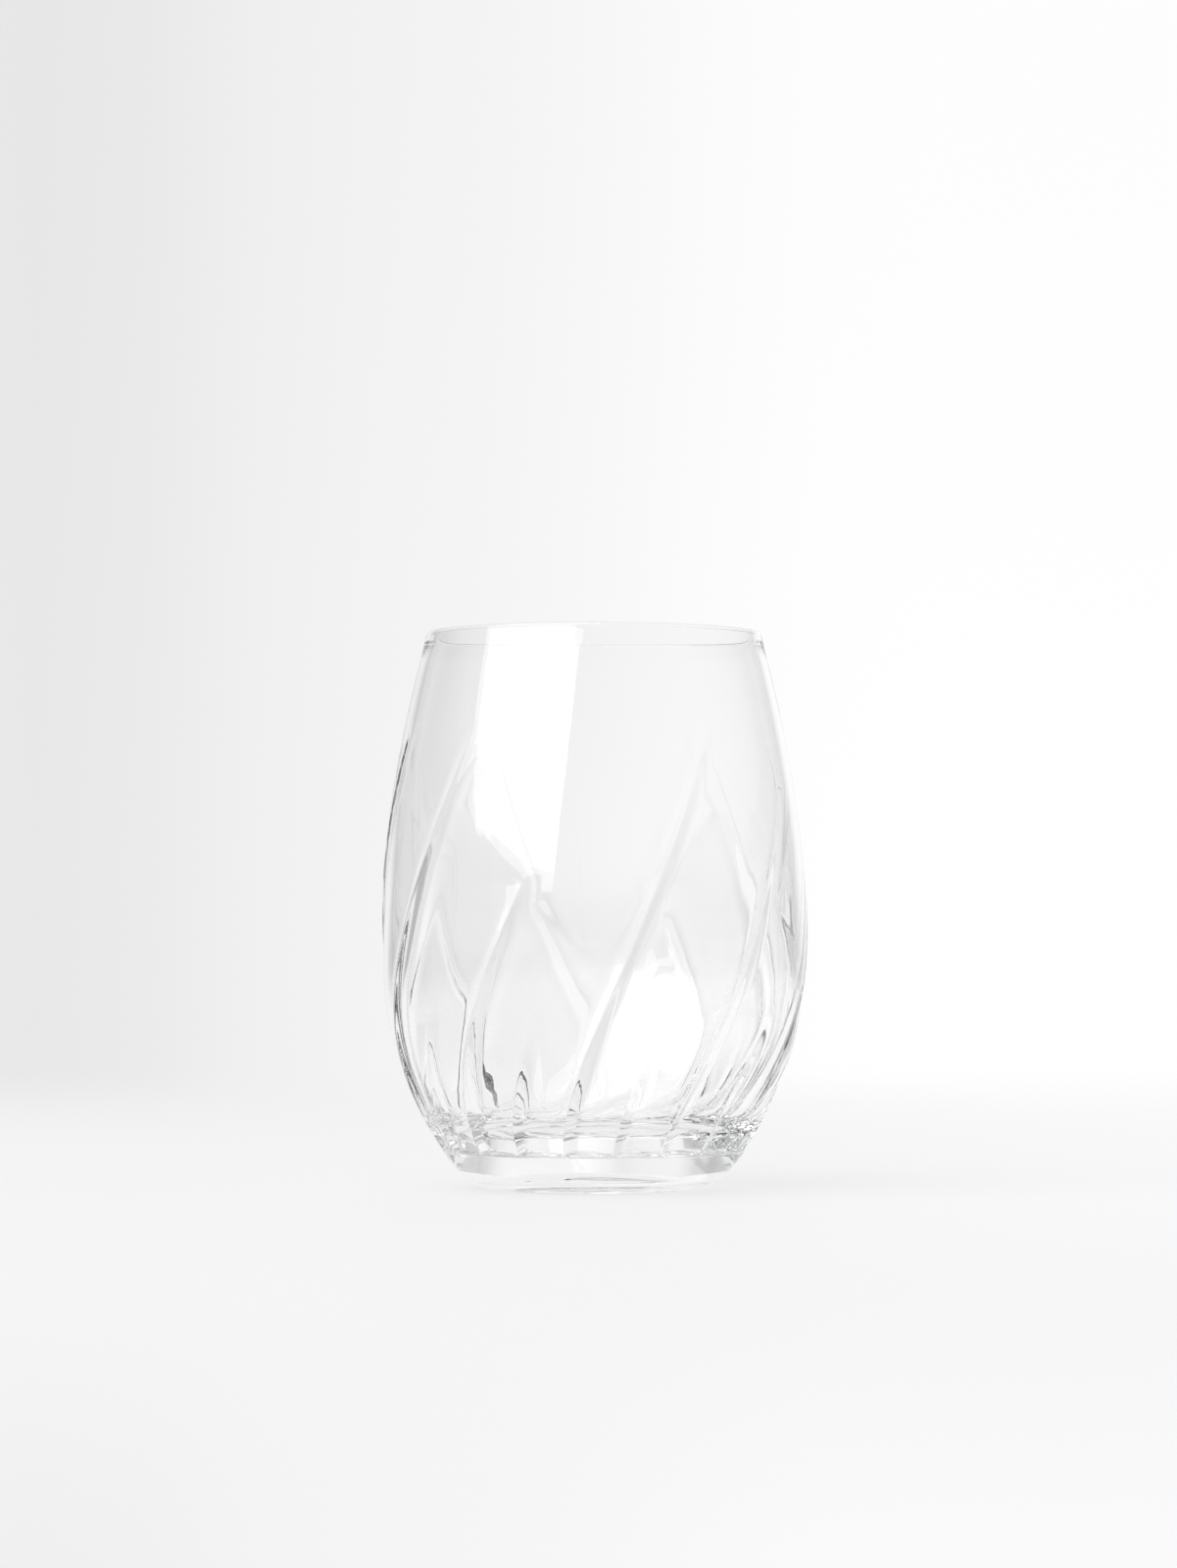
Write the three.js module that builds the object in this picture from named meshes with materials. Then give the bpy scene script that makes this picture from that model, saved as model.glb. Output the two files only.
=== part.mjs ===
// A stemless barrel tumbler in clear glass: one piece, with a plain thin rim, twisted saw-tooth
// flutes round the wall, which its cavity follows softly, and a plain, heavy, drawn-in foot.
// Millimetres, +Z up, origin in the middle of the ring that the glass stands on.
// An angle of zero looks along +Y at the front (-Y), and angles grow towards +X.
import * as THREE from 'three';
import { mergeVertices } from 'three/addons/utils/BufferGeometryUtils.js';

// Body
const glassHeight = 110;
const bellyHeight = 46;
const bellyRadius = 42.5;
const rimRadius = 32.9;
const upperCurve = 1.87;
const lowerCurve = 2.15;

// Wall and cavity
const rimWall = 1.7;
const bellyWall = 2.4;
const footWall = 4;
const baseThickness = 12.5;
const floorRadius = 22;
const floorCornerHeight = 4;

// Foot
const footHeight = 7.7;
const footRadius = 29.9;
const heelRadius = 26.2;
const heelHeight = 2.9;
const undercutRadius = 24.9;
const undercutHeight = 1.7;
const contactRadius = 20;
const contactWidth = 1.2;
const pushUp = 1.6;

// Flutes: broad ones between the ridges, each split in two near the base by a lower ridge
const broadFlutes = 10;
const splitsPerFlute = 2;
const fluteDepth = 2.4;
const fullDepthHeight = 13;
const deepTop = 30;
const deepGrowth = 1.4;
const splitRidgeTop = 41;
const splitFullHeight = 12;
const splitGrowth = 2.5;
const footShare = 0.5;
const footShareTop = 20;
const cliffAngle = 2.6;
const ledgeDrop = 1.3;

// Leaves: from its top a broad flute widens over the leaf's length, as a hollow facet that is
// tilted under the barrel. The tilt is the depth beside the ridge for each unit of width, and
// below its widest line the facet sinks a little more for each unit of height.
const tallLeafTop = 91;
const tallLeafLength = 26;
const tallLeafTilt = 0.026;
const tallLeafSink = 0.03;
const steepLeafTop = 79;
const steepLeafLength = 19;
const steepLeafTilt = 0.044;
const steepLeafSink = 0.09;
const lowLeafTop = 60;
const lowLeafLength = 21.5;
const lowLeafTilt = 0.031;
const lowLeafSink = 0.05;
const sinkLength = 11;
const scoop = 2;

// Share of the flutes that the cavity wall follows, and the heights between which it fades out
const innerShare = 0.75;
const innerFullHeight = 33;
const innerFadeHeight = 17;

// Twist of the flutes, in degrees, leaning to the right on the way up
const twistPerMillimetre = 0.59;
const twistEase = 5;
const footRidgeAngle = -11;

// Fineness of the facets
const columnsPerSplit = 4;
const undersideSteps = 3;
const ledgeSteps = 2;
const flutedSteps = 24;
const upperSteps = 3;
const rimSteps = 4;
const cavitySteps = 16;
const cornerSteps = 4;

const narrowestTooth = 2 * cliffAngle;
const broadAngle = 360 / broadFlutes;
const splitAngle = broadAngle / splitsPerFlute;
const columnCount = broadFlutes * splitsPerFlute * columnsPerSplit;
const flutedTop = tallLeafTop;
const cornerTop = baseThickness + floorCornerHeight;

const tallLeaf = {
  top: tallLeafTop,
  length: tallLeafLength,
  tilt: tallLeafTilt,
  sink: tallLeafSink,
};
const steepLeaf = {
  top: steepLeafTop,
  length: steepLeafLength,
  tilt: steepLeafTilt,
  sink: steepLeafSink,
};
const lowLeaf = {
  top: lowLeafTop,
  length: lowLeafLength,
  tilt: lowLeafTilt,
  sink: lowLeafSink,
};
const leafPattern = [tallLeaf, lowLeaf, tallLeaf, steepLeaf, lowLeaf];

// Radius of the barrel before the flutes are cut, which the ridges keep.
function barrelRadius(z) {
  if (z >= bellyHeight) {
    const rise = (z - bellyHeight) / (glassHeight - bellyHeight);
    return bellyRadius - (bellyRadius - rimRadius) * rise ** upperCurve;
  }
  const drop = (bellyHeight - z) / (bellyHeight - footHeight);
  return bellyRadius - (bellyRadius - footRadius) * drop ** lowerCurve;
}

// Radius of the cavity without its share of the flutes: an even wall above the belly, one that
// thickens below it, and a quarter ellipse down to the edge of the flat floor.
function cavityRadius(z) {
  if (z >= bellyHeight) {
    const rise = (z - bellyHeight) / (glassHeight - bellyHeight);
    return barrelRadius(z) - THREE.MathUtils.lerp(bellyWall, rimWall, rise);
  }
  const drop = (bellyHeight - z) / (bellyHeight - baseThickness);
  const wallRadius = barrelRadius(z) - THREE.MathUtils.lerp(bellyWall, footWall, drop ** 2);
  const sink = THREE.MathUtils.clamp((cornerTop - z) / floorCornerHeight, 0, 1);
  return THREE.MathUtils.lerp(floorRadius, wallRadius, Math.sqrt(1 - sink ** 2));
}

// Saw-tooth across one flute, as a share of its depth: a short cliff down from the ridge,
// then a hollow climb that is back on the barrel where the flute's reach ends.
function sawTooth(angle, reach) {
  if (angle <= cliffAngle) return angle / cliffAngle;
  const end = Math.max(reach, narrowestTooth);
  const share = THREE.MathUtils.clamp((end - angle) / (end - cliffAngle), 0, 1);
  return 1 - (1 - share) ** scoop;
}

// Depth that the flutes take off the barrel, at an angle counted from a ridge with a tall leaf.
function fluteCut(z, angle) {
  const flute = Math.floor(angle / broadAngle);
  const inFlute = angle - flute * broadAngle;
  const leaf = leafPattern[flute % leafPattern.length];
  const reach = THREE.MathUtils.clamp((leaf.top - z) / leaf.length, 0, 1) * broadAngle;
  const facet = leaf.tilt * THREE.MathUtils.degToRad(reach) * barrelRadius(z);
  const below = THREE.MathUtils.clamp(leaf.top - leaf.length - z, 0, sinkLength);
  const leafDepth = Math.min(facet + leaf.sink * below, fluteDepth);
  const deepRise = THREE.MathUtils.clamp((deepTop - z) / (deepTop - fullDepthHeight), 0, 1);
  const depth = THREE.MathUtils.lerp(leafDepth, fluteDepth, deepRise ** deepGrowth);

  const splitRise = (splitRidgeTop - z) / (splitRidgeTop - splitFullHeight);
  const split = THREE.MathUtils.clamp(splitRise, 0, 1) ** splitGrowth;
  const broad = sawTooth(inFlute, reach);
  const narrow = sawTooth(inFlute % splitAngle, splitAngle);

  const footRise = THREE.MathUtils.clamp((z - footHeight) / (footShareTop - footHeight), 0, 1);
  const share = THREE.MathUtils.lerp(footShare, 1, footRise);
  return share * depth * THREE.MathUtils.lerp(broad, narrow, split);
}

// The flutes run out on a steep ledge round the top of the foot.
function outerRadius(z, angle) {
  const ledge = footRadius - (fluteDepth * (z - footHeight)) / ledgeDrop;
  return Math.max(barrelRadius(z) - fluteCut(z, angle), ledge);
}

// The cavity follows the flutes in part, but not in the thick base.
function innerRadius(z, angle) {
  const rise = (z - innerFadeHeight) / (innerFullHeight - innerFadeHeight);
  const share = innerShare * THREE.MathUtils.clamp(rise, 0, 1);
  return cavityRadius(z) - share * fluteCut(z, angle);
}

// How far a ridge has turned at a height. It starts almost upright above the foot.
function ridgeTurn(z) {
  const rise = THREE.MathUtils.clamp(z, footHeight, flutedTop) - footHeight;
  const eased = rise - twistEase * (1 - Math.exp(-rise / twistEase));
  return footRidgeAngle + twistPerMillimetre * eased;
}

// Angle of a column of points, counted from a long ridge: on the ridge, at the foot of its
// cliff, and then evenly over the rest of the flute.
function columnAngle(column) {
  const split = Math.floor(column / columnsPerSplit);
  const place = column % columnsPerSplit;
  const start = split * splitAngle;
  if (place === 0) return start;
  const step = (splitAngle - cliffAngle) / (columnsPerSplit - 1);
  return start + cliffAngle + (place - 1) * step;
}

// Stations of the section, from the middle of the underside round to the middle of the
// cavity floor. One with a shaper is shaped again for each column.
function plainStation(radius, z) {
  return { radius, z, turnHeight: footHeight };
}

function upperStation(radius, z) {
  return { radius, z, turnHeight: flutedTop };
}

function flutedStation(z) {
  return { radius: barrelRadius(z), z, turnHeight: z, shaper: outerRadius };
}

function innerStation(z) {
  return { radius: cavityRadius(z), z, turnHeight: z, shaper: innerRadius };
}

function sectionStations() {
  const stations = [];
  const ringInner = contactRadius - contactWidth;
  for (let step = 0; step < undersideSteps; step += 1) {
    const share = step / undersideSteps;
    stations.push(plainStation(ringInner * share, pushUp * (1 - share ** 2)));
  }
  stations.push(plainStation(ringInner, 0));
  stations.push(plainStation(contactRadius, 0));
  stations.push(plainStation(undercutRadius, undercutHeight));
  stations.push(plainStation(heelRadius, heelHeight));
  stations.push(plainStation(footRadius, footHeight));

  const ledgeTop = footHeight + ledgeDrop;
  for (let step = 1; step <= ledgeSteps; step += 1) {
    stations.push(flutedStation(footHeight + (ledgeDrop * step) / ledgeSteps));
  }
  for (let step = 1; step <= flutedSteps; step += 1) {
    stations.push(flutedStation(THREE.MathUtils.lerp(ledgeTop, flutedTop, step / flutedSteps)));
  }
  const rimCentre = glassHeight - rimWall / 2;
  for (let step = 1; step <= upperSteps; step += 1) {
    const z = THREE.MathUtils.lerp(flutedTop, rimCentre, step / upperSteps);
    stations.push(upperStation(barrelRadius(z), z));
  }

  const rimMiddle = barrelRadius(rimCentre) - rimWall / 2;
  for (let step = 1; step < rimSteps; step += 1) {
    const swing = (Math.PI * step) / rimSteps;
    const radius = rimMiddle + (rimWall / 2) * Math.cos(swing);
    stations.push(upperStation(radius, rimCentre + (rimWall / 2) * Math.sin(swing)));
  }

  for (let step = 0; step < upperSteps; step += 1) {
    const z = THREE.MathUtils.lerp(rimCentre, flutedTop, step / upperSteps);
    stations.push(upperStation(cavityRadius(z), z));
  }
  for (let step = 0; step < cavitySteps; step += 1) {
    stations.push(innerStation(THREE.MathUtils.lerp(flutedTop, cornerTop, step / cavitySteps)));
  }
  for (let step = 0; step <= cornerSteps; step += 1) {
    const swing = (Math.PI * step) / (2 * cornerSteps);
    stations.push(innerStation(cornerTop - floorCornerHeight * Math.sin(swing)));
  }
  stations.push(plainStation(0, baseThickness));
  return stations;
}

function makeGlassGeometry() {
  const stations = sectionStations();
  const section = stations.map((station) => new THREE.Vector2(station.radius, station.z));
  const geometry = new THREE.LatheGeometry(section, columnCount);
  const positions = geometry.getAttribute('position');
  for (let index = 0; index < positions.count; index += 1) {
    const station = stations[index % stations.length];
    const column = Math.floor(index / stations.length) % columnCount;
    const fromRidge = columnAngle(column);
    const radius = station.shaper ? station.shaper(station.z, fromRidge) : station.radius;
    const angle = THREE.MathUtils.degToRad(fromRidge + ridgeTurn(station.turnHeight));
    positions.setXYZ(index, radius * Math.sin(angle), -radius * Math.cos(angle), station.z);
  }
  geometry.deleteAttribute('normal');
  geometry.deleteAttribute('uv');
  return mergeVertices(geometry);
}

const clearGlass = new THREE.MeshStandardMaterial({
  name: 'clear_glass',
  color: 0xf2f5f5,
  roughness: 0.04,
  metalness: 0,
  transparent: true,
  opacity: 0.35,
});

const glassBody = new THREE.Mesh(makeGlassGeometry(), clearGlass);
glassBody.name = 'glass_body';

const tumbler = new THREE.Group();
tumbler.name = 'tumbler';
tumbler.add(glassBody);

export default tumbler;
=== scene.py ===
import math

import bpy
import numpy as np
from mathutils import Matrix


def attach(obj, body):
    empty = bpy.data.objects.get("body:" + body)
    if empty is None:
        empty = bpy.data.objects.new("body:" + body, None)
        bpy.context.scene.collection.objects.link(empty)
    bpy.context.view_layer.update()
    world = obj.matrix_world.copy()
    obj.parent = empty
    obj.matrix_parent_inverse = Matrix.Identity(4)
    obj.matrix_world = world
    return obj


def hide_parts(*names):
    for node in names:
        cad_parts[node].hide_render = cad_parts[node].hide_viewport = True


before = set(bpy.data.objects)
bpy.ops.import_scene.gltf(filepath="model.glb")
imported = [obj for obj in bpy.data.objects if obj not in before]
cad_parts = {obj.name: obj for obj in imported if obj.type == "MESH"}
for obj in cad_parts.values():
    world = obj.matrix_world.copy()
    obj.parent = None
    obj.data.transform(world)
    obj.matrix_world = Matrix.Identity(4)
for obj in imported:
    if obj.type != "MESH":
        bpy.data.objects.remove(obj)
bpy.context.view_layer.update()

# Everything is in metres, +Z up. The photograph looks along +Y.
MM = 0.001

# The barrel, as in the CAD model
GLASS_HEIGHT = 110 * MM
BELLY_HEIGHT = 46 * MM
BELLY_RADIUS = 42.5 * MM
RIM_RADIUS = 32.9 * MM
UPPER_CURVE = 1.87
LOWER_CURVE = 2.15

# Wall and cavity
RIM_WALL = 1.7 * MM
BELLY_WALL = 2.4 * MM
FOOT_WALL = 4.0 * MM
FOOT_WALL_GROWTH = 2
BASE_THICKNESS = 12.5 * MM
CAVITY_FLOOR_RADIUS = 22 * MM
CAVITY_CORNER_HEIGHT = 16.5 * MM
CAVITY_CORNER_POWER = 2
CAVITY_FILLET = 1.0 * MM
CAVITY_RING_GAP = 0.5 * MM
RIM_BEAD = 0.22 * MM
RIM_BEAD_HEIGHT = 2.4 * MM

# Foot
FOOT_HEIGHT = 7.7 * MM
FOOT_RADIUS = 29.9 * MM
HEEL_RADIUS = 26.2 * MM
HEEL_HEIGHT = 2.9 * MM
UNDERCUT_RADIUS = 24.9 * MM
UNDERCUT_HEIGHT = 1.7 * MM
CONTACT_RADIUS = 20 * MM
CONTACT_WIDTH = 1.2 * MM
PUSH_UP = 1.6 * MM
UNDERCUT_SAG = 0.4
HEEL_BULGE = 0.2 * MM
FOOT_EDGE_INSET = 0.12 * MM
FOOT_EDGE_DROP = 0.5 * MM

# Flutes: broad ones between the ridges, each split in two near the base by a lower ridge
BROAD_FLUTES = 10
SPLITS_PER_FLUTE = 2
FLUTE_DEPTH = 2.4 * MM
FULL_DEPTH_HEIGHT = 13 * MM
DEEP_TOP = 30 * MM
DEEP_GROWTH = 1.4
SPLIT_RIDGE_TOP = 41 * MM
SPLIT_FULL_HEIGHT = 12 * MM
SPLIT_GROWTH = 2.5
FOOT_SHARE = 0.5
FOOT_SHARE_TOP = 20 * MM
FLUTED_TOP = 93 * MM

# A fine crease runs up each ridge, past the top of its leaf
CREASE_DEPTH = 0.22 * MM
CREASE_LENGTH = 12 * MM
CREASE_TOPS = [93 * MM, 80 * MM, 92 * MM, 91.6 * MM, 62 * MM]

# Leaves: top, length over which the facet widens to a whole flute, tilt under the barrel, and
# how fast the facet still sinks under its widest line
TALL_LEAF = (91 * MM, 26 * MM, 0.022, 0.03)
STEEP_LEAF = (79 * MM, 19 * MM, 0.044, 0.08)
LOW_LEAF = (60 * MM, 21.5 * MM, 0.031, 0.05)
LEAF_PATTERN = [TALL_LEAF, LOW_LEAF, TALL_LEAF, STEEP_LEAF, LOW_LEAF]
SINK_LENGTH = 11 * MM
SCOOP = 2.0

# Cliffs beside the ridges, and a low bead and dip on their other side
FOOT_CLIFF = 2.2 * MM
SPLIT_CLIFF = 3.0 * MM
TOP_CLIFF = 2.6 * MM
SHARP_HEIGHT = 12 * MM
SOFT_HEIGHT = 26 * MM
BEAD_DEPTH = 0.12 * MM
BEAD_WIDTH = 1.3 * MM

# The flutes run out on a ledge over the foot, and lean to the right on the way up, in degrees
LEDGE_DROP = 1.3 * MM
LEDGE_SOFTNESS = 0.35 * MM
LEDGE_LEAD = 0.3 * MM
TWIST_PER_MILLIMETRE = 0.59
TWIST_EASE = 5 * MM
FOOT_RIDGE_ANGLE = -11

# How far the crests and valleys are rounded, in degrees, and the cavity's share of the flutes
FOOT_CREST_SOFTNESS = 0.2
TOP_CREST_SOFTNESS = 0.8
INNER_SHARE = 0.75
INNER_SOFTNESS = 4
INNER_START = 17 * MM
INNER_FULL = 33 * MM

BROAD_ANGLE = 360 / BROAD_FLUTES
SPLIT_ANGLE = BROAD_ANGLE / SPLITS_PER_FLUTE

# Columns of vertices stand close together at each cliff and further apart on the slope between
CLIFF_STEPS = 15
CLIFF_MIDDLE = 0.3
CLIFF_REACH = 3.8
CLIFF_PINCH = 3
SLOPE_STEPS = 8

# Rings and samples of the fine mesh
UNDERSIDE_START = 0.04
UNDERSIDE_RINGS = 22
CONTACT_SHARES = (0.3, 0.7)
HEEL_STEPS = 5
LEDGE_RINGS = 18
WALL_RINGS = 170
UPPER_RINGS = 26
RIM_RINGS = 15
WALL_SAMPLES = 2000
FLOOR_SAMPLES = 400
FILLET_SAMPLES = 13
FILLET_BLEND = 4
CREST_SAMPLES = 9
CREST_EDGE_WEIGHT = 0.25


def barrel_radius(z):
    """The barrel without its flutes, whose ridges keep this radius."""
    rise = np.clip((z - BELLY_HEIGHT) / (GLASS_HEIGHT - BELLY_HEIGHT), 0, 1)
    drop = np.clip((BELLY_HEIGHT - z) / (BELLY_HEIGHT - FOOT_HEIGHT), 0, 1)
    upper = (BELLY_RADIUS - RIM_RADIUS) * rise**UPPER_CURVE
    lower = (BELLY_RADIUS - FOOT_RADIUS) * drop**LOWER_CURVE
    return BELLY_RADIUS - upper - lower


def cavity_radius(z):
    rise = np.clip((z - BELLY_HEIGHT) / (GLASS_HEIGHT - BELLY_HEIGHT), 0, 1)
    upper = barrel_radius(z) - BELLY_WALL - (RIM_WALL - BELLY_WALL) * rise
    drop = np.clip((BELLY_HEIGHT - z) / (BELLY_HEIGHT - BASE_THICKNESS), 0, 1)
    wall = BELLY_WALL + (FOOT_WALL - BELLY_WALL) * drop**FOOT_WALL_GROWTH
    sink = np.clip((CAVITY_CORNER_HEIGHT - z) / (CAVITY_CORNER_HEIGHT - BASE_THICKNESS), 0, 1)
    corner = (1 - sink**CAVITY_CORNER_POWER) ** (1 / CAVITY_CORNER_POWER)
    lower = CAVITY_FLOOR_RADIUS + (barrel_radius(z) - wall - CAVITY_FLOOR_RADIUS) * corner
    return np.where(z >= BELLY_HEIGHT, upper, lower)


def soft_max(a, b, softness):
    return (a + b + np.sqrt((a - b) ** 2 + softness**2)) / 2


def height_share(z):
    """0 at the foot, growing to 1 where the flutes are at their softest."""
    return min(max((z - SHARP_HEIGHT) / (SOFT_HEIGHT - SHARP_HEIGHT), 0), 1)


def saw_tooth(z, angle, width, end):
    """One ridge at angle 0, a cliff after it, then a slope that comes back up at the end."""
    cliff = math.degrees(width / barrel_radius(z))
    end = max(end, 2 * cliff)
    rising = angle / cliff
    falling = 1 - (1 - np.clip((end - angle) / (end - cliff), 0, 1)) ** SCOOP
    return np.maximum(np.minimum(rising, falling), 0)


def leaf_depth(z, crease_top, leaf):
    """Depth at the cliff, and the angle over which the facet comes back up to the barrel."""
    top, length, tilt, sink = leaf
    reach = min(max((top - z) / length, 0), 1) * BROAD_ANGLE
    crease = CREASE_DEPTH * min(max((crease_top - z) / CREASE_LENGTH, 0), 1)
    facet = tilt * math.radians(reach) * barrel_radius(z)
    facet += sink * min(max(top - length - z, 0), SINK_LENGTH)
    depth = min(max(facet, crease), FLUTE_DEPTH)
    deep = min(max((DEEP_TOP - z) / (DEEP_TOP - FULL_DEPTH_HEIGHT), 0), 1) ** DEEP_GROWTH
    return depth + (FLUTE_DEPTH - depth) * deep, reach


def sharp_cut(z, angle):
    """How deep the flutes lie under the barrel; angle is counted from a long ridge."""
    flute = np.floor(angle / BROAD_ANGLE)
    in_flute = angle - flute * BROAD_ANGLE
    kind = flute.astype(int) % len(LEAF_PATTERN)
    cliff = FOOT_CLIFF + (TOP_CLIFF - FOOT_CLIFF) * height_share(z)
    split_cliff = FOOT_CLIFF + (SPLIT_CLIFF - FOOT_CLIFF) * height_share(z)
    leaves = [leaf_depth(z, top, leaf) for top, leaf in zip(CREASE_TOPS, LEAF_PATTERN)]
    broad = np.choose(
        kind, [depth * saw_tooth(z, in_flute, cliff, reach) for depth, reach in leaves]
    )
    depths = np.array([depth for depth, _ in leaves])[kind]
    narrow = depths * saw_tooth(z, in_flute % SPLIT_ANGLE, split_cliff, SPLIT_ANGLE)
    split = (SPLIT_RIDGE_TOP - z) / (SPLIT_RIDGE_TOP - SPLIT_FULL_HEIGHT)
    cut = broad + (narrow - broad) * min(max(split, 0), 1) ** SPLIT_GROWTH
    tops = np.array(CREASE_TOPS)[(kind + 1) % len(CREASE_TOPS)]
    grown = np.clip((tops - z) / CREASE_LENGTH, 0, 1)
    gap = np.radians(BROAD_ANGLE - in_flute) * barrel_radius(z) / BEAD_WIDTH
    cut += BEAD_DEPTH * grown * gap * np.exp(1 - gap)
    foot = min(max((z - FOOT_HEIGHT) / (FOOT_SHARE_TOP - FOOT_HEIGHT), 0), 1)
    return cut * (FOOT_SHARE + (1 - FOOT_SHARE) * foot)


def flute_cut(z, angle, extra_softness=0):
    """The same with the crests and valleys rounded by the fire polish."""
    softness = FOOT_CREST_SOFTNESS + (TOP_CREST_SOFTNESS - FOOT_CREST_SOFTNESS) * height_share(z)
    softness += extra_softness
    offsets = np.linspace(-1, 1, CREST_SAMPLES)
    weights = 1 - np.abs(offsets) * (1 - CREST_EDGE_WEIGHT)
    total = sum(
        weight * sharp_cut(z, (angle + offset * softness) % 360)
        for offset, weight in zip(offsets, weights)
    )
    return total / weights.sum()


def outer_radius(z, angle):
    ledge = FOOT_RADIUS - FLUTE_DEPTH * (z - FOOT_HEIGHT) / LEDGE_DROP
    fluted = barrel_radius(z) - flute_cut(z, angle)
    softened = soft_max(fluted, ledge, LEDGE_SOFTNESS)
    return np.minimum(softened, barrel_radius(z))


def inner_cut(z, angle):
    """The blown wall follows its mould inside too, but softly, and not in the thick base."""
    share = INNER_SHARE * min(max((z - INNER_START) / (INNER_FULL - INNER_START), 0), 1)
    return share * flute_cut(z, angle, INNER_SOFTNESS)


def ridge_turn(z):
    rise = min(max(z, FOOT_HEIGHT), FLUTED_TOP) - FOOT_HEIGHT
    eased = rise - TWIST_EASE * (1 - math.exp(-rise / TWIST_EASE))
    return FOOT_RIDGE_ANGLE + TWIST_PER_MILLIMETRE * eased / MM


def column_angles():
    pinched = np.sinh(np.linspace(-CLIFF_PINCH, CLIFF_PINCH, CLIFF_STEPS)) / math.sinh(CLIFF_PINCH)
    cliff = CLIFF_MIDDLE + CLIFF_REACH * pinched
    slope = np.linspace(cliff[-1], SPLIT_ANGLE + cliff[0], SLOPE_STEPS + 2)
    one = np.concatenate([cliff, slope[1:-1]])
    starts = np.arange(BROAD_FLUTES * SPLITS_PER_FLUTE) * SPLIT_ANGLE
    return (starts[:, None] + one[None, :]).ravel()


def cavity_profile(top):
    """Down the cavity wall and over its floor to near the axis, with a fillet between the two."""
    z = np.linspace(top, BASE_THICKNESS, WALL_SAMPLES)
    wall = np.stack([cavity_radius(z), z], 1)
    floor_radius = np.linspace(CAVITY_FLOOR_RADIUS, 0, FLOOR_SAMPLES)
    floor = np.stack([floor_radius, np.full(FLOOR_SAMPLES, BASE_THICKNESS)], 1)
    points = np.concatenate([wall, floor])
    along = np.concatenate([[0], np.cumsum(np.hypot(*np.diff(points, axis=0).T))])
    count = round(along[-1] / CAVITY_RING_GAP)
    even = np.linspace(0, along[-1], count)
    offsets = np.linspace(-1, 1, FILLET_SAMPLES) * CAVITY_FILLET
    smooth = [
        np.mean([np.interp(even + offset, along, points[:, axis]) for offset in offsets], axis=0)
        for axis in (0, 1)
    ]
    blend = np.clip(even / (FILLET_BLEND * CAVITY_FILLET), 0, 1)
    sharp = [np.interp(even, along, points[:, axis]) for axis in (0, 1)]
    mixed = [sharp[axis] + (smooth[axis] - sharp[axis]) * blend for axis in (0, 1)]
    return list(zip(*mixed))


def spline_points(points, steps):
    """A smooth curve through given points."""
    pts = np.array([points[0], *points, points[-1]], float)
    out = []
    for k in range(1, len(pts) - 2):
        a, b, c, d = pts[k - 1 : k + 3]
        for t in np.arange(steps) / steps:
            square = 2 * a - 5 * b + 4 * c - d
            cube = 3 * b - a - 3 * c + d
            out.append(0.5 * (2 * b + (c - a) * t + square * t**2 + cube * t**3))
    out.append(pts[-2])
    return out


def section_rings():
    """Rings from under the foot, up the outside, over the rim and down the cavity."""
    angles = column_angles()
    rings = []

    def plain(radius, z, turn_height):
        rings.append((np.full(len(angles), radius), z, ridge_turn(turn_height)))

    inner = CONTACT_RADIUS - CONTACT_WIDTH
    for share in np.linspace(UNDERSIDE_START, 1, UNDERSIDE_RINGS):
        plain(inner * share, PUSH_UP * (1 - share**2), 0)
    for share in CONTACT_SHARES:
        plain(inner + share * CONTACT_WIDTH, 0, 0)
    heel = [
        (CONTACT_RADIUS, 0),
        ((CONTACT_RADIUS + UNDERCUT_RADIUS) / 2, UNDERCUT_SAG * UNDERCUT_HEIGHT),
        (UNDERCUT_RADIUS, UNDERCUT_HEIGHT),
        (HEEL_RADIUS, HEEL_HEIGHT),
        ((HEEL_RADIUS + FOOT_RADIUS) / 2 + HEEL_BULGE, (HEEL_HEIGHT + FOOT_HEIGHT) / 2),
        (FOOT_RADIUS - FOOT_EDGE_INSET, FOOT_HEIGHT - FOOT_EDGE_DROP),
    ]
    for radius, z in spline_points(heel, HEEL_STEPS):
        plain(radius, z, 0)
    wall_start = FOOT_HEIGHT + 2 * LEDGE_DROP
    ledge_heights = np.linspace(FOOT_HEIGHT - LEDGE_LEAD, wall_start, LEDGE_RINGS)
    wall_heights = np.linspace(wall_start, FLUTED_TOP, WALL_RINGS)
    for z in [*ledge_heights, *wall_heights[1:]]:
        rings.append((outer_radius(z, angles), z, ridge_turn(z)))
    centre_height = GLASS_HEIGHT - RIM_WALL / 2
    for z in np.linspace(FLUTED_TOP, centre_height, UPPER_RINGS)[1:-1]:
        bead = RIM_BEAD * math.exp(-(((z - centre_height) / RIM_BEAD_HEIGHT) ** 2))
        plain(barrel_radius(z) + bead, z, FLUTED_TOP)
    outer = barrel_radius(centre_height) + RIM_BEAD
    inside = cavity_radius(centre_height)
    middle, half = (outer + inside) / 2, (outer - inside) / 2
    for turn in np.linspace(0, math.pi, RIM_RINGS):
        z = centre_height + RIM_WALL / 2 * math.sin(turn)
        plain(middle + half * math.cos(turn), z, FLUTED_TOP)
    for radius, z in cavity_profile(centre_height)[1:-1]:
        rings.append((radius - inner_cut(z, angles), z, ridge_turn(z)))
    return angles, rings


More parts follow.
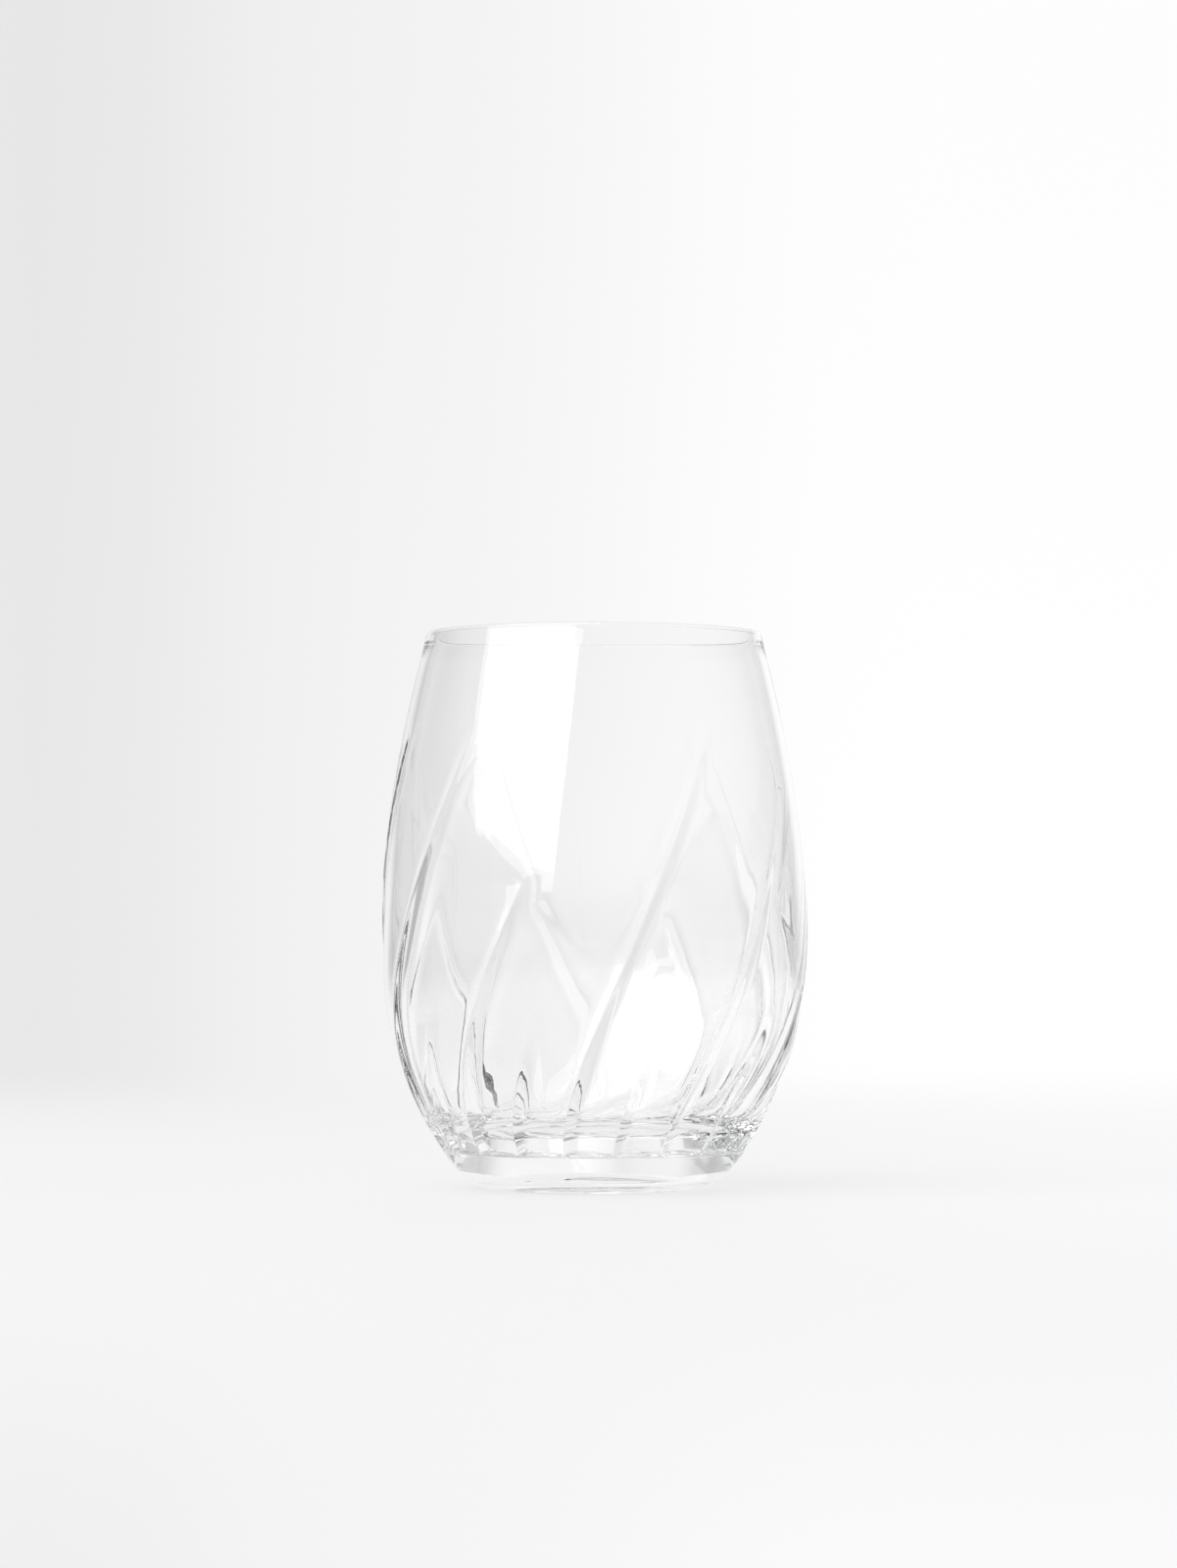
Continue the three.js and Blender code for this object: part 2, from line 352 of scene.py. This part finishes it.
def make_glass():
    angles, rings = section_rings()
    columns = len(angles)
    verts = []
    for radii, z, turn in rings:
        around = np.radians(angles + turn)
        x, y = radii * np.sin(around), -radii * np.cos(around)
        verts.append(np.stack([x, y, np.full(columns, z)], 1))
    verts = np.concatenate(verts)
    faces = []
    for ring in range(len(rings) - 1):
        low, high = ring * columns, (ring + 1) * columns
        for k in range(columns):
            after = (k + 1) % columns
            faces.append((low + k, low + after, high + after, high + k))
    bottom = len(verts)
    top = bottom + 1
    last = (len(rings) - 1) * columns
    for k in range(columns):
        after = (k + 1) % columns
        faces.append((bottom, after, k))
        faces.append((top, last + k, last + after))
    poles = np.array([[0, 0, PUSH_UP], [0, 0, BASE_THICKNESS]])
    mesh = bpy.data.meshes.new("glass_fine")
    mesh.from_pydata(np.concatenate([verts, poles]).tolist(), [], faces)
    mesh.update()
    mesh.polygons.foreach_set("use_smooth", np.ones(len(mesh.polygons), bool))
    piece = bpy.data.objects.new("glass_fine", mesh)
    bpy.context.collection.objects.link(piece)
    return piece


# Glass
GLASS_IOR = 1.51
ABSORPTION_COLOUR = (0.90, 0.91, 0.905, 1)
ABSORPTION_DENSITY = 10
HAZE_SCALE = 38
HAZE_DETAIL = 4
HAZE_START = 0.56
HAZE_END = 0.72
HAZE = 0.012
SCUFF_SCALE = 900
SCUFF_DETAIL = 3
SCUFF_HEIGHT = 0.25 * MM
SCUFF_ROUGHNESS = 0.6
WAVE_SCALE = 70
WAVE_DETAIL = 1
WAVE_HEIGHT = 0.03 * MM
WAVE_STRETCH = 0.35


def node_tree(owner):
    owner.use_nodes = True
    tree = owner.node_tree
    tree.nodes.clear()
    return tree


def add(tree, kind, **settings):
    node = tree.nodes.new(kind)
    for name, value in settings.items():
        setattr(node, name, value)
    return node


def glass_material():
    material = bpy.data.materials.new("clear_glass")
    tree = node_tree(material)
    link = tree.links.new
    out = add(tree, "ShaderNodeOutputMaterial")
    shader = add(tree, "ShaderNodeBsdfPrincipled")
    shader.inputs["Base Color"].default_value = (1, 1, 1, 1)
    shader.inputs["Transmission Weight"].default_value = 1
    shader.inputs["IOR"].default_value = GLASS_IOR
    link(shader.outputs[0], out.inputs["Surface"])

    # Polished all over, with a faint haze in patches and scuffs on the ring that it stands on
    place = add(tree, "ShaderNodeTexCoord")
    parts = add(tree, "ShaderNodeSeparateXYZ")
    patches = add(tree, "ShaderNodeTexNoise")
    patches.inputs["Scale"].default_value = HAZE_SCALE
    patches.inputs["Detail"].default_value = HAZE_DETAIL
    haze = add(tree, "ShaderNodeMapRange", interpolation_type="SMOOTHSTEP")
    haze.inputs["From Min"].default_value = HAZE_START
    haze.inputs["From Max"].default_value = HAZE_END
    haze.inputs["To Max"].default_value = HAZE
    specks = add(tree, "ShaderNodeTexNoise")
    specks.inputs["Scale"].default_value = SCUFF_SCALE
    specks.inputs["Detail"].default_value = SCUFF_DETAIL
    near_table = add(tree, "ShaderNodeMapRange", interpolation_type="SMOOTHSTEP")
    near_table.inputs["From Min"].default_value = SCUFF_HEIGHT
    near_table.inputs["From Max"].default_value = 0
    near_table.inputs["To Max"].default_value = SCUFF_ROUGHNESS
    scuffs = add(tree, "ShaderNodeMath", operation="MULTIPLY")
    worn = add(tree, "ShaderNodeMath", operation="MAXIMUM")
    link(place.outputs["Object"], patches.inputs["Vector"])
    link(place.outputs["Object"], specks.inputs["Vector"])
    link(place.outputs["Object"], parts.inputs[0])
    link(patches.outputs[0], haze.inputs["Value"])
    link(parts.outputs["Z"], near_table.inputs["Value"])
    link(specks.outputs[0], scuffs.inputs[0])
    link(near_table.outputs["Result"], scuffs.inputs[1])
    link(haze.outputs["Result"], worn.inputs[0])
    link(scuffs.outputs[0], worn.inputs[1])
    link(worn.outputs[0], shader.inputs["Roughness"])

    # Blown and fire-polished glass is never quite even: long soft waves, drawn out upwards
    drawn_out = add(tree, "ShaderNodeMapping")
    drawn_out.inputs["Scale"].default_value = (1, 1, WAVE_STRETCH)
    waves = add(tree, "ShaderNodeTexNoise")
    waves.inputs["Scale"].default_value = WAVE_SCALE
    waves.inputs["Detail"].default_value = WAVE_DETAIL
    bump = add(tree, "ShaderNodeBump")
    bump.inputs["Distance"].default_value = WAVE_HEIGHT
    link(place.outputs["Object"], drawn_out.inputs["Vector"])
    link(drawn_out.outputs[0], waves.inputs["Vector"])
    link(waves.outputs[0], bump.inputs["Height"])
    link(bump.outputs[0], shader.inputs["Normal"])

    volume = add(tree, "ShaderNodeVolumeAbsorption")
    volume.inputs["Color"].default_value = ABSORPTION_COLOUR
    volume.inputs["Density"].default_value = ABSORPTION_DENSITY
    link(volume.outputs[0], out.inputs["Volume"])
    return material


# Camera, with its frame and its aim in the photograph's pixels
CAMERA_DISTANCE = 0.9
CAMERA_HEIGHT = 0.049
FRAME_PIXELS = (1201, 1600)
FOCAL_PIXELS = 4635
HORIZON_PIXEL = 959.5
AXIS_PIXEL = 606
SENSOR = 36
NEAR_CLIP = 0.01

# Floor: pale, with painted light that is brighter to the right and back, and clear far behind,
# where the backdrop takes over
FLOOR_SIDES = 128
FLOOR_RADIUS = 3
FLOOR_GAP = 0.0001
FLOOR_COLOUR = (0.92, 0.92, 0.92, 1)
FLOOR_ROUGHNESS = 0.6
GLOW_LEFT, GLOW_RIGHT = -0.12, 0.2
GLOW_FRONT, GLOW_BACK = -0.5, 0
FADE_START, FADE_END = 0.2, 0.9
FLOOR_GLOW = 0.93
FLOOR_GLOW_RIGHT = 1.0
CAMERA_GLOW_SHARE = 0.8
GLASS_GLOW_SHARE = 0.9

# Backdrop, as places and grey levels. Round the glass, 0 and 1 lie behind the camera, 0.25 to
# the left, 0.5 behind the glass and 0.75 to the right. Upwards, 0.5 is the horizon.
AROUND_STOPS = [
    (0.0, 0.62),
    (0.25, 0.44),
    (0.385, 0.45),
    (0.41, 0.60),
    (0.44, 0.88),
    (0.47, 0.86),
    (0.481, 0.81),
    (0.492, 0.90),
    (0.51, 1.0),
    (0.565, 1.0),
    (0.61, 0.62),
    (0.66, 0.52),
    (0.75, 0.46),
    (1.0, 0.62),
]
UP_STOPS = [(0.0, 1.0), (0.5, 1.0), (0.6, 0.985), (0.75, 0.7), (1.0, 0.5)]
STRIP_STOPS = [(0.0, 1.0), (0.497, 1.0), (0.5, 0.25), (0.54, 0.35), (0.575, 1.0)]
FRONT_STOPS = [(0.0, 1.0), (0.2, 1.0), (0.3, 0.0), (0.7, 0.0), (0.8, 1.0), (1.0, 1.0)]
BACKDROP_DARKEST = 0.74

# Softbox: azimuth 0 is the camera's side and grows towards +X
SOFTBOX_AZIMUTH = -48
SOFTBOX_ELEVATION = 45.8
SOFTBOX_DISTANCE = 1.8
SOFTBOX_AIM_HEIGHT = 0.05
SOFTBOX_WIDTH = 2.16
SOFTBOX_HEIGHT = 2.7
SOFTBOX_RADIANCE = 2.0

# Light paths through thick glass are long
GLASS_BOUNCES = 40
GLOSSY_BOUNCES = 32


def add_camera():
    data = bpy.data.cameras.new("camera")
    data.sensor_width = SENSOR
    data.lens = FOCAL_PIXELS / max(FRAME_PIXELS) * SENSOR
    data.clip_start = NEAR_CLIP
    camera = bpy.data.objects.new("camera", data)
    bpy.context.collection.objects.link(camera)
    pitch = math.atan((HORIZON_PIXEL - FRAME_PIXELS[1] / 2) / FOCAL_PIXELS)
    yaw = math.atan((AXIS_PIXEL - FRAME_PIXELS[0] / 2) / FOCAL_PIXELS)
    camera.location = (0, -CAMERA_DISTANCE, CAMERA_HEIGHT)
    camera.rotation_euler = (math.pi / 2 + pitch, 0, yaw)
    bpy.context.scene.camera = camera


def add_floor():
    bpy.ops.mesh.primitive_circle_add(
        vertices=FLOOR_SIDES, radius=FLOOR_RADIUS, fill_type="NGON", location=(0, 0, -FLOOR_GAP)
    )
    floor = bpy.context.object
    floor.name = "floor"
    material = bpy.data.materials.new("floor")
    tree = node_tree(material)
    link = tree.links.new
    out = add(tree, "ShaderNodeOutputMaterial")
    shader = add(tree, "ShaderNodeBsdfPrincipled")
    shader.inputs["Base Color"].default_value = FLOOR_COLOUR
    shader.inputs["Roughness"].default_value = FLOOR_ROUGHNESS
    place = add(tree, "ShaderNodeTexCoord")
    # Painted light: the floor's emission grows brighter towards the right and towards the back
    painted_floor_light = add(tree, "ShaderNodeEmission")
    across = add(tree, "ShaderNodeSeparateXYZ")
    to_right = add(tree, "ShaderNodeMapRange", interpolation_type="SMOOTHSTEP")
    to_right.inputs["From Min"].default_value = GLOW_LEFT
    to_right.inputs["From Max"].default_value = GLOW_RIGHT
    to_right.inputs["To Min"].default_value = FLOOR_GLOW
    to_right.inputs["To Max"].default_value = FLOOR_GLOW_RIGHT
    to_back = add(tree, "ShaderNodeMapRange", interpolation_type="SMOOTHSTEP")
    to_back.inputs["From Min"].default_value = GLOW_FRONT
    to_back.inputs["From Max"].default_value = GLOW_BACK
    shade = add(tree, "ShaderNodeMix", data_type="FLOAT")
    shade.inputs["A"].default_value = FLOOR_GLOW
    link(place.outputs["Object"], across.inputs[0])
    link(across.outputs["X"], to_right.inputs["Value"])
    link(across.outputs["Y"], to_back.inputs["Value"])
    link(to_back.outputs["Result"], shade.inputs["Factor"])
    link(to_right.outputs["Result"], shade.inputs["B"])
    link(shade.outputs["Result"], painted_floor_light.inputs["Color"])
    rays = add(tree, "ShaderNodeLightPath")
    seen = add(tree, "ShaderNodeMath", operation="MULTIPLY")
    seen.inputs[1].default_value = CAMERA_GLOW_SHARE
    in_glass = add(tree, "ShaderNodeMath", operation="MAXIMUM")
    in_glass_share = add(tree, "ShaderNodeMath", operation="MULTIPLY")
    in_glass_share.inputs[1].default_value = GLASS_GLOW_SHARE
    glow_share = add(tree, "ShaderNodeMath", operation="MAXIMUM")
    glow = add(tree, "ShaderNodeMixShader")
    link(rays.outputs["Is Camera Ray"], seen.inputs[0])
    link(rays.outputs["Is Glossy Ray"], in_glass.inputs[0])
    link(rays.outputs["Is Transmission Ray"], in_glass.inputs[1])
    link(in_glass.outputs[0], in_glass_share.inputs[0])
    link(seen.outputs[0], glow_share.inputs[0])
    link(in_glass_share.outputs[0], glow_share.inputs[1])
    link(glow_share.outputs[0], glow.inputs[0])
    link(shader.outputs[0], glow.inputs[1])
    link(painted_floor_light.outputs[0], glow.inputs[2])
    clear = add(tree, "ShaderNodeBsdfTransparent")
    mix = add(tree, "ShaderNodeMixShader")
    length = add(tree, "ShaderNodeVectorMath", operation="LENGTH")
    fade = add(tree, "ShaderNodeMapRange", interpolation_type="SMOOTHSTEP")
    fade.inputs["From Min"].default_value = FADE_START
    fade.inputs["From Max"].default_value = FADE_END
    link(place.outputs["Object"], length.inputs[0])
    link(length.outputs["Value"], fade.inputs["Value"])
    link(fade.outputs["Result"], mix.inputs[0])
    link(glow.outputs[0], mix.inputs[1])
    link(clear.outputs[0], mix.inputs[2])
    link(mix.outputs[0], out.inputs["Surface"])
    floor.data.materials.append(material)


def ramp(tree, stops):
    node = add(tree, "ShaderNodeValToRGB")
    node.color_ramp.interpolation = "EASE"
    items = node.color_ramp.elements
    while len(items) < len(stops):
        items.new(0.5)
    for item, (place, value) in zip(items, stops):
        item.position = place
        item.color = (value, value, value, 1)
    return node


def add_world():
    world = bpy.data.worlds.new("studio")
    bpy.context.scene.world = world
    tree = node_tree(world)
    link = tree.links.new
    out = add(tree, "ShaderNodeOutputWorld")
    background = add(tree, "ShaderNodeBackground")
    place = add(tree, "ShaderNodeTexCoord")
    parts = add(tree, "ShaderNodeSeparateXYZ")
    turn = add(tree, "ShaderNodeMath", operation="ARCTAN2")
    share = add(tree, "ShaderNodeMapRange")
    share.inputs["From Min"].default_value = -math.pi
    share.inputs["From Max"].default_value = math.pi
    around = ramp(tree, AROUND_STOPS)
    up = ramp(tree, UP_STOPS)
    height = add(tree, "ShaderNodeMapRange")
    height.inputs["From Min"].default_value = -1
    height.inputs["From Max"].default_value = 1
    product = add(tree, "ShaderNodeMix", data_type="RGBA", blend_type="MULTIPLY")
    product.inputs["Factor"].default_value = 1
    link(place.outputs["Generated"], parts.inputs[0])
    link(parts.outputs["X"], turn.inputs[0])
    link(parts.outputs["Y"], turn.inputs[1])
    link(turn.outputs[0], share.inputs["Value"])
    link(share.outputs["Result"], around.inputs[0])
    link(parts.outputs["Z"], height.inputs["Value"])
    link(height.outputs["Result"], up.inputs[0])
    link(around.outputs["Color"], product.inputs["A"])
    link(up.outputs["Color"], product.inputs["B"])
    strip = ramp(tree, STRIP_STOPS)
    front = ramp(tree, FRONT_STOPS)
    darker = add(tree, "ShaderNodeMix", data_type="RGBA", blend_type="MULTIPLY")
    link(height.outputs["Result"], strip.inputs[0])
    link(share.outputs["Result"], front.inputs[0])
    link(front.outputs["Color"], darker.inputs["Factor"])
    link(product.outputs["Result"], darker.inputs["A"])
    link(strip.outputs["Color"], darker.inputs["B"])

    # The darker sides of the studio are for the glass alone: the camera sees a pale backdrop there
    rays = add(tree, "ShaderNodeLightPath")
    seen = add(tree, "ShaderNodeMix", data_type="RGBA", blend_type="LIGHTEN")
    seen.inputs["B"].default_value = (BACKDROP_DARKEST, BACKDROP_DARKEST, BACKDROP_DARKEST, 1)
    link(rays.outputs["Is Camera Ray"], seen.inputs["Factor"])
    link(darker.outputs["Result"], seen.inputs["A"])
    link(seen.outputs["Result"], background.inputs["Color"])
    link(background.outputs[0], out.inputs["Surface"])


def add_softbox():
    data = bpy.data.lights.new("softbox", "AREA")
    data.shape = "RECTANGLE"
    data.size = SOFTBOX_WIDTH
    data.size_y = SOFTBOX_HEIGHT
    data.energy = SOFTBOX_RADIANCE * math.pi * SOFTBOX_WIDTH * SOFTBOX_HEIGHT
    lamp = bpy.data.objects.new("softbox", data)
    lamp.visible_camera = False
    bpy.context.collection.objects.link(lamp)
    azimuth, elevation = math.radians(SOFTBOX_AZIMUTH), math.radians(SOFTBOX_ELEVATION)
    lamp.location = (
        SOFTBOX_DISTANCE * math.sin(azimuth) * math.cos(elevation),
        -SOFTBOX_DISTANCE * math.cos(azimuth) * math.cos(elevation),
        SOFTBOX_DISTANCE * math.sin(elevation) + SOFTBOX_AIM_HEIGHT,
    )
    lamp.rotation_euler = (math.pi / 2 - elevation, 0, azimuth)


add_camera()
glass = make_glass()
glass.data.materials.append(glass_material())
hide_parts("glass_body")
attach(glass, "root")
add_floor()
add_world()
add_softbox()

bpy.context.scene.view_settings.view_transform = "Standard"
cycles = bpy.context.scene.cycles
cycles.max_bounces = GLASS_BOUNCES
cycles.glossy_bounces = GLOSSY_BOUNCES
cycles.transmission_bounces = GLASS_BOUNCES
